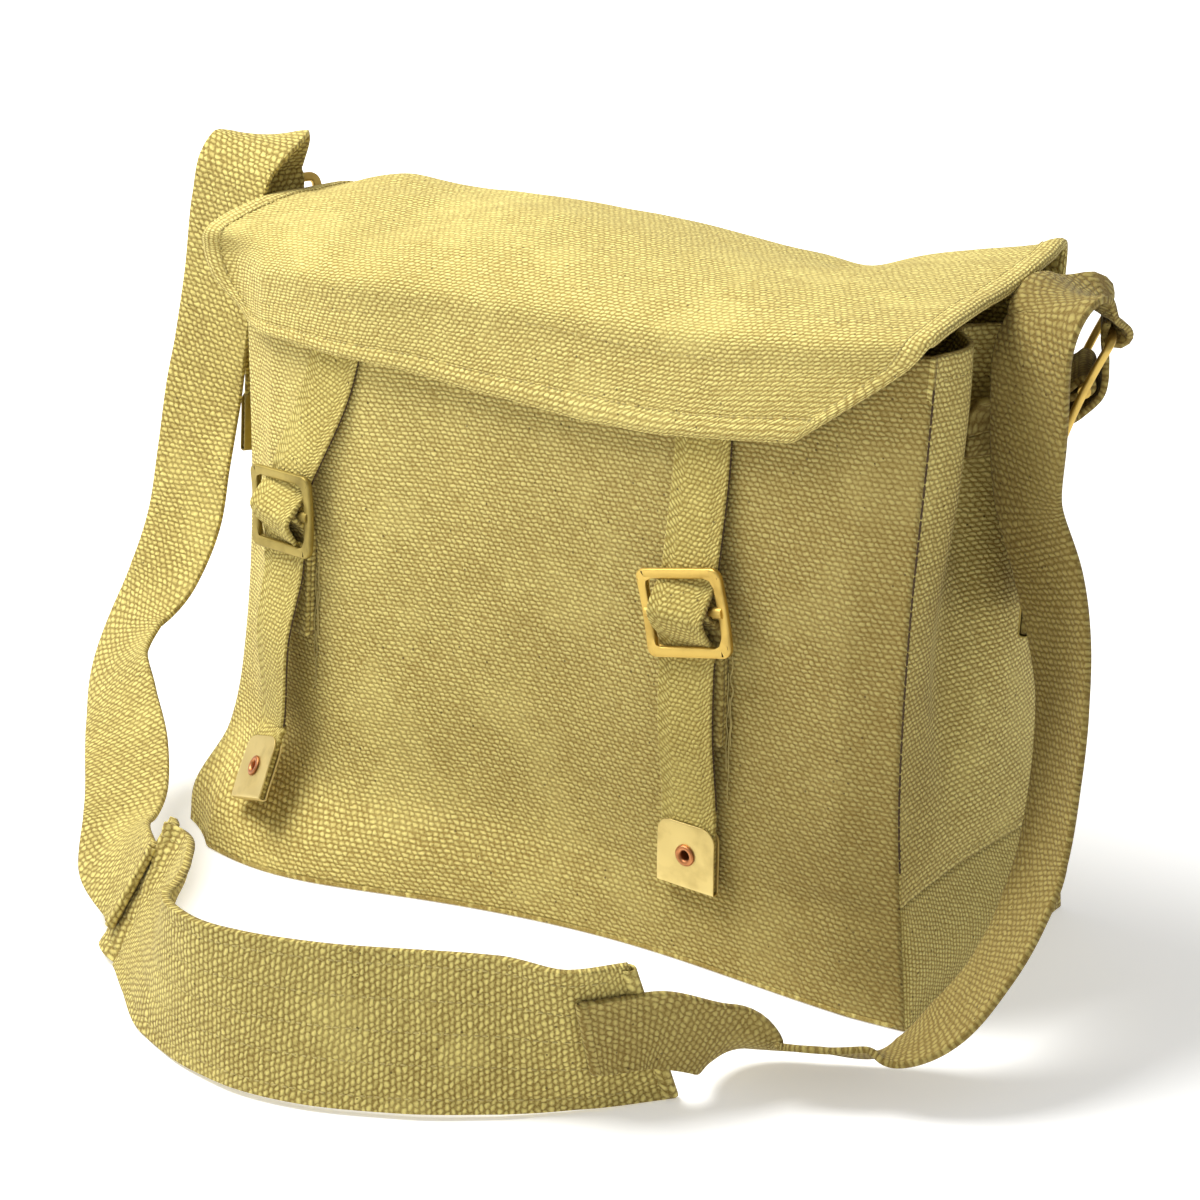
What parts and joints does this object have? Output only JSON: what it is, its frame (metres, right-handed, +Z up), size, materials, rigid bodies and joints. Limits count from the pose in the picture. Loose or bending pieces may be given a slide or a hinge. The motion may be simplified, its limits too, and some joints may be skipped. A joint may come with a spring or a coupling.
{
  "type": "canvas shoulder bag",
  "caption": "Khaki webbing canvas shoulder bag with a buckled flap and a webbing shoulder strap with a pad.",
  "frame": {"origin": "middle of the base, on the plane that the bag stands on", "axes": "+X to the right along the front, +Y to the back, +Z up"},
  "size_m": [0.4701, 0.3052, 0.289],
  "materials": {
    "canvas": "woven",
    "webbing": "woven",
    "brass": "worn",
    "copper": "worn"
  },
  "bodies": {
    "root": {"front_panel": "canvas", "back_panel": "canvas", "side_gusset_right": "canvas", "side_gusset_left": "canvas", "base_strip": "canvas", "flap": "canvas", "closure_strap_left": "webbing", "closure_chape_left": "webbing", "closure_buckle_left": "brass", "closure_left_tip": "brass", "closure_left_eyelet": "copper", "shoulder_strap_left": "webbing", "shoulder_chape_left": "webbing", "shoulder_buckle_left": "brass", "shoulder_left_tip": "brass", "shoulder_left_eyelet": "copper", "closure_strap_right": "webbing", "closure_chape_right": "webbing", "closure_buckle_right": "brass", "closure_right_tip": "brass", "closure_right_eyelet": "copper", "shoulder_strap_right": "webbing", "shoulder_chape_right": "webbing", "shoulder_buckle_right": "brass", "shoulder_right_tip": "brass", "shoulder_right_eyelet": "copper", "shoulder_pad": "webbing"}
  },
  "joints": []
}
